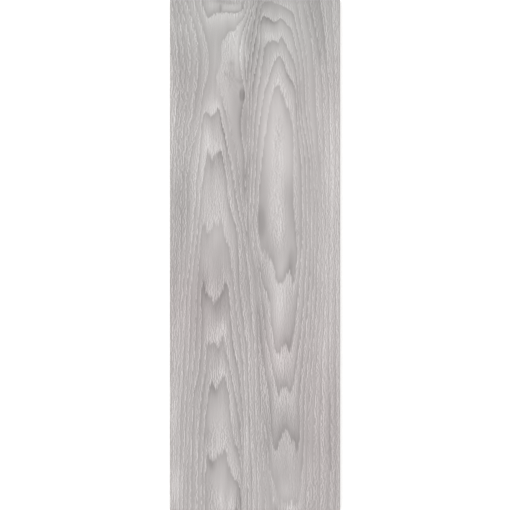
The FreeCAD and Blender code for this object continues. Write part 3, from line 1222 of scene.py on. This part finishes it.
@dataclass
class PlankTile:
    """The dressed tile: a relief face, a ground edge carried round it and a keyed lattice back.

    Sizes are metres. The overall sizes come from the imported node, the others repeat its driving dimensions.

    Attributes:
        relief_depth: How far the face sinks where the growth is young.
        relief_fade: Distance from the edge over which the relief comes in.
        hollow_age: Share of a year's growth at which the face lies deepest.
        arris_power: Roundness of the upper edge, from 1 for a flat bevel to 2 for a circle.
        arris_steps: Facets of the upper edge.
        cells_across: Cells of the face's grid across the tile.
        cells_along: Cells of the face's grid along the tile.
    """

    width: float
    length: float
    thickness: float
    name: str = "plank_tile_dressed"
    face_bevel: float = 0.5 * MM
    back_bevel: float = 0.8 * MM
    rim_width: float = 8.0 * MM
    rib_width: float = 4.0 * MM
    cell_pitch: float = 27.0 * MM
    cell_depth: float = 0.6 * MM
    cell_draft: float = math.radians(40.0)
    relief_depth: float = 0.16 * MM
    relief_fade: float = 4.0 * MM
    hollow_age: float = 0.2
    arris_power: float = 1.4
    arris_steps: int = 4
    cells_across: int = 250
    cells_along: int = 300

    def face(self, grain: GrainField) -> tuple[np.ndarray, GrainSample]:
        """Works out the face as a height over a grid.

        The height falls from the top of the tile by the relief depth where growth is young and by nothing
        where it is old, as one cosine a ring, and the relief fades out towards the edges as a smooth step.

        Args:
            grain: The wood figure.

        Returns:
            The grid's points, row by row from the lower end, and the growth over the grid.
        """
        half_x = self.width / 2 - self.face_bevel
        half_y = self.length / 2 - self.face_bevel
        x, y = np.meshgrid(
            np.linspace(-half_x, half_x, self.cells_across + 1),
            np.linspace(-half_y, half_y, self.cells_along + 1),
        )
        growth = grain.sample((self.width / 2 + x) / MM, (self.length / 2 - y) / MM)
        inward = np.minimum(half_x - np.abs(x), half_y - np.abs(y))
        fade = np.clip(inward / self.relief_fade, 0.0, 1.0)
        fade = fade * fade * (3 - 2 * fade)
        hollow = 0.5 + 0.5 * np.cos(2 * np.pi * (growth.ring - self.hollow_age))
        z = self.thickness - self.relief_depth * fade * hollow
        return np.stack([x, y, z], axis=-1).reshape(-1, 3), growth

    def edge_profile(self) -> tuple[np.ndarray, np.ndarray]:
        """Gives the edge's profile from the face down to the back.

        The upper arris is a superellipse between a flat bevel and a round, the side is straight, and the
        lower bevel is flat.

        Returns:
            How far each point lies in from the outline, and its height.
        """
        turn = np.linspace(0, np.pi / 2, self.arris_steps + 1)
        inset = self.face_bevel * (1 - np.sin(turn) ** (2 / self.arris_power))
        drop = self.face_bevel * (1 - np.cos(turn) ** (2 / self.arris_power))
        inset = np.append(inset, [0.0, self.back_bevel])
        height = np.append(self.thickness - drop, [self.back_bevel, 0.0])
        return inset, height

    def lattice_lines(self, span: float) -> tuple[np.ndarray, np.ndarray]:
        """Spaces the back's grid lines along one side.

        Cells fill the span inside the rim at the whole number nearest their pitch, with a rib between them,
        and each has a line at its mouth and one at its floor on both sides.

        Args:
            span: The tile's width or length.

        Returns:
            The lines' places and whether each runs along a cell's floor.
        """
        field_span = span - 2 * self.rim_width + self.rib_width
        count = round(field_span / self.cell_pitch)
        pitch = field_span / count
        draft = self.cell_depth * math.tan(self.cell_draft)
        mouth = pitch - self.rib_width
        offsets = np.array([0.0, draft, mouth - draft, mouth])
        starts = self.rim_width - span / 2 + pitch * np.arange(count)
        lines = (starts[:, None] + offsets[None]).ravel()
        floors = np.tile([False, True, True, False], count)
        return lines, floors

    @staticmethod
    def quads(columns: int, rows: int) -> np.ndarray:
        """Numbers the quads of a grid of points, anticlockwise seen from its front."""
        first = (np.arange(rows - 1)[:, None] * columns + np.arange(columns - 1)[None]).ravel()
        return np.column_stack([first, first + 1, first + columns + 1, first + columns])

    @staticmethod
    def border(columns: int, rows: int) -> list[np.ndarray]:
        """Numbers a grid's border points side by side, anticlockwise, each side with both its corners.

        Args:
            columns: Points in a row.
            rows: Points in a column.

        Returns:
            The point numbers of the four sides, from the first row on.
        """
        last = columns * (rows - 1)
        return [
            np.arange(columns),
            np.arange(rows) * columns + columns - 1,
            last + np.arange(columns)[::-1],
            np.arange(rows)[::-1] * columns,
        ]

    @staticmethod
    def zipper(outer: np.ndarray, inner: np.ndarray) -> np.ndarray:
        """Joins two rows of points of different counts by triangles that face down.

        Each outer point is paired with the inner point at the same share of the row. A triangle stands on
        each outer step, and one on each inner step where the pairing moves on.

        Args:
            outer: Numbers of the outer row's points, the finer of the two.
            inner: Numbers of the inner row's points.

        Returns:
            The triangles.
        """
        pair = np.round(np.arange(len(outer)) * (len(inner) - 1) / (len(outer) - 1)).astype(int)
        on_outer = np.column_stack([outer[1:], outer[:-1], inner[pair[:-1]]])
        moves = pair[1:] > pair[:-1]
        on_inner = np.column_stack([outer[1:][moves], inner[pair[:-1][moves]], inner[pair[1:][moves]]])
        return np.vstack([on_outer, on_inner])

    def build(self, grain: GrainField) -> bpy.types.Object:
        """Makes the closed mesh with the growth on its points.

        The edge repeats the face's border at each step of the edge's profile, drawn out to the outline
        there. The back is a grid of lattice lines, sunk where two floor lines cross, and the rim joins it
        to the edge.

        Args:
            grain: The wood figure.

        Returns:
            The piece, undressed.
        """
        columns, rows = self.cells_across + 1, self.cells_along + 1
        face_points, growth = self.face(grain)
        face_quads = self.quads(columns, rows)
        sides = self.border(columns, rows)
        loop = np.concatenate([side[:-1] for side in sides])

        inset, height = self.edge_profile()
        rim_xy = face_points[loop, :2]
        reach_x = (self.width / 2 - inset[1:]) / (self.width / 2 - self.face_bevel)
        reach_y = (self.length / 2 - inset[1:]) / (self.length / 2 - self.face_bevel)
        wall_points = np.stack([
            reach_x[:, None] * rim_xy[None, :, 0],
            reach_y[:, None] * rim_xy[None, :, 1],
            np.repeat(height[1:, None], len(loop), axis=1),
        ], axis=-1).reshape(-1, 3)
        wall_rows = len(face_points) + np.arange(len(wall_points)).reshape(len(height) - 1, len(loop))
        wall_rows = np.vstack([loop, wall_rows])
        upper, lower = wall_rows[:-1], wall_rows[1:]
        wall_quads = np.stack(
            [lower, np.roll(lower, -1, axis=1), np.roll(upper, -1, axis=1), upper], axis=-1
        ).reshape(-1, 4)

        lines_x, floor_x = self.lattice_lines(self.width)
        lines_y, floor_y = self.lattice_lines(self.length)
        lattice_x, lattice_y = np.meshgrid(lines_x, lines_y)
        sunk = np.logical_and(*np.meshgrid(floor_x, floor_y)) * self.cell_depth
        lattice_points = np.stack([lattice_x, lattice_y, sunk], axis=-1).reshape(-1, 3)
        first = len(face_points) + len(wall_points)
        lattice_quads = first + self.quads(len(lines_x), len(lines_y))[:, ::-1]

        foot = wall_rows[-1]
        turn = np.cumsum([0] + [len(side) - 1 for side in sides])
        rim_triangles = np.vstack([
            self.zipper(np.append(foot, foot[0])[turn[i]:turn[i + 1] + 1], first + inner)
            for i, inner in enumerate(self.border(len(lines_x), len(lines_y)))
        ])

        points = np.vstack([face_points, wall_points, lattice_points])
        groups = (face_quads, wall_quads, lattice_quads, rim_triangles)
        faces = [face for group in groups for face in group.tolist()]
        mesh = bpy.data.meshes.new(self.name)
        mesh.from_pydata(points, [], faces)
        zones = np.full(len(faces), Zone.FIRED_BODY.value)
        zones[:len(face_quads)] = Zone.FACE.value
        mesh.polygons.foreach_set("material_index", zones)
        smooth = np.zeros(len(faces), bool)
        smooth[:len(face_quads) + self.arris_steps * len(loop)] = True
        mesh.polygons.foreach_set("use_smooth", smooth)
        for name in ATTRIBUTES:
            values = np.zeros(len(points), np.float32)
            values[:len(face_points)] = getattr(growth, name).ravel()
            mesh.attributes.new(name, "FLOAT", "POINT").data.foreach_set("value", values)
        mesh.update()
        piece = bpy.data.objects.new(self.name, mesh)
        bpy.context.scene.collection.objects.link(piece)
        return piece

    def dress(self, piece: bpy.types.Object, face: GlazedFace, body: FiredBody) -> None:
        """Gives the piece its finishes and ties it to the frame.

        Args:
            piece: The tile's piece.
            face: The finish of the printed face.
            body: The finish of the edges and back.
        """
        piece.data.materials.append(face.build())
        piece.data.materials.append(body.build())
        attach(piece, BODY)
        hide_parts(NODE)


@dataclass
class Studio:
    """A plain white floor, a soft even sky with one broad lamp, and a camera straight above the tile.

    Attributes:
        top: Height of the tile's face.
        frame_span: Length that fills the picture.
        lens: Focal length in millimetres, long so that the edges hardly show.
        sensor: Width of the camera's sensor in millimetres.
        floor_lift: Light that the floor adds for the eye alone.
        sky: Strength of the sky's light, while the eye sees it at full white.
    """

    top: float
    frame_span: float
    lens: float = 200.0
    sensor: float = 36.0
    floor_span: float = 6.0
    floor_drop: float = 0.1 * MM
    floor_colour: str = "#f4f4f4"
    floor_lift: float = 0.35
    sky: float = 0.85
    sky_colour: str = "#ffffff"
    lamp_power: float = 13.0
    lamp_span: float = 1.6
    lamp_place: tuple[float, float, float] = (-1.3, 1.1, 1.9)

    @staticmethod
    def seen(tree: bpy.types.NodeTree) -> bpy.types.Node:
        """Adds whether a ray shows what it meets to the eye, straight, mirrored or through glass.

        Args:
            tree: The node tree.

        Returns:
            One for such a ray, and zero for one that only carries light.
        """
        path = add_node(tree, "ShaderNodeLightPath").outputs
        mirrored = add_node(tree, MATH, MAXIMUM, {0: path["Is Camera Ray"], 1: path["Is Glossy Ray"]})
        return add_node(tree, MATH, MAXIMUM, {0: mirrored, 1: path["Is Transmission Ray"]})

    def floor(self) -> None:
        """Lays the floor: a white sheet that adds, for the eye alone, what it lacks of full white."""
        half = self.floor_span / 2
        corners = [(-half, -half), (half, -half), (half, half), (-half, half)]
        mesh = bpy.data.meshes.new("studio_floor")
        mesh.from_pydata([(x, y, -self.floor_drop) for x, y in corners], [], [(0, 1, 2, 3)])
        material = bpy.data.materials.new("white_paper_floor")
        tree = empty_tree(material)
        lift = add_node(tree, MATH, MULTIPLY, {0: self.seen(tree), 1: self.floor_lift})
        paper = add_node(tree, "ShaderNodeBsdfDiffuse", {}, {"Color": linear(self.floor_colour)})
        glow = add_node(tree, "ShaderNodeEmission", {}, {"Strength": lift})
        both = add_node(tree, "ShaderNodeAddShader", {}, {0: paper, 1: glow})
        add_node(tree, "ShaderNodeOutputMaterial", {}, {"Surface": both})
        mesh.materials.append(material)
        sheet = bpy.data.objects.new("studio_floor", mesh)
        bpy.context.scene.collection.objects.link(sheet)

    def light(self) -> None:
        """Sets the even sky, white to the eye, and one broad lamp from the upper left."""
        world = bpy.data.worlds.new("soft_sky")
        tree = empty_tree(world)
        strength = add_node(tree, MATH, MULTIPLY_ADD, {0: self.seen(tree), 1: 1.0 - self.sky, 2: self.sky})
        sky = add_node(tree, "ShaderNodeBackground", {}, {
            "Color": linear(self.sky_colour), "Strength": strength,
        })
        add_node(tree, "ShaderNodeOutputWorld", {}, {"Surface": sky})
        bpy.context.scene.world = world
        lamp = bpy.data.lights.new("broad_lamp", "AREA")
        lamp.size = self.lamp_span
        lamp.energy = self.lamp_power
        holder = bpy.data.objects.new("broad_lamp", lamp)
        holder.location = self.lamp_place
        x, y, z = self.lamp_place
        holder.rotation_euler = (math.atan2(math.hypot(x, y), z), 0.0, math.atan2(x, -y))
        bpy.context.scene.collection.objects.link(holder)

    def camera(self) -> None:
        """Hangs the camera straight above the tile, so that the face fills the picture's height."""
        data = bpy.data.cameras.new("camera")
        data.lens = self.lens
        data.sensor_width = self.sensor
        eye = bpy.data.objects.new("camera", data)
        eye.location = (0.0, 0.0, self.top + self.frame_span * self.lens / self.sensor)
        bpy.context.scene.collection.objects.link(eye)
        bpy.context.scene.camera = eye


def main() -> None:
    """Builds the tile and the studio."""
    logging.basicConfig(level=logging.INFO, format="%(name)s: %(message)s")
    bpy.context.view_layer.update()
    low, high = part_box(NODE)
    width, length, thickness = (float(b - a) for a, b in zip(low, high))
    log.info("packed tile %.1f x %.1f x %.1f mm", width / MM, length / MM, thickness / MM)

    rings = Sheet(LEFT_COLUMN + RIGHT_COLUMN + RIGHT_FLANK + STAKES)
    lanes = Sheet(LANES, spacing=10.0, slack=2.0)
    grain = GrainField(rings, lanes, ACCENTS)
    tile = PlankTile(width, length, thickness)
    piece = tile.build(grain)
    tile.dress(piece, GlazedFace(), FiredBody())
    log.info("%s: %d points, %d faces", piece.name, len(piece.data.vertices), len(piece.data.polygons))

    studio = Studio(top=thickness, frame_span=length - 2 * tile.face_bevel)
    studio.floor()
    studio.light()
    studio.camera()
    bpy.context.scene.view_settings.view_transform = "Standard"
    log.info("studio ready")


if __name__ == "__main__":
    main()
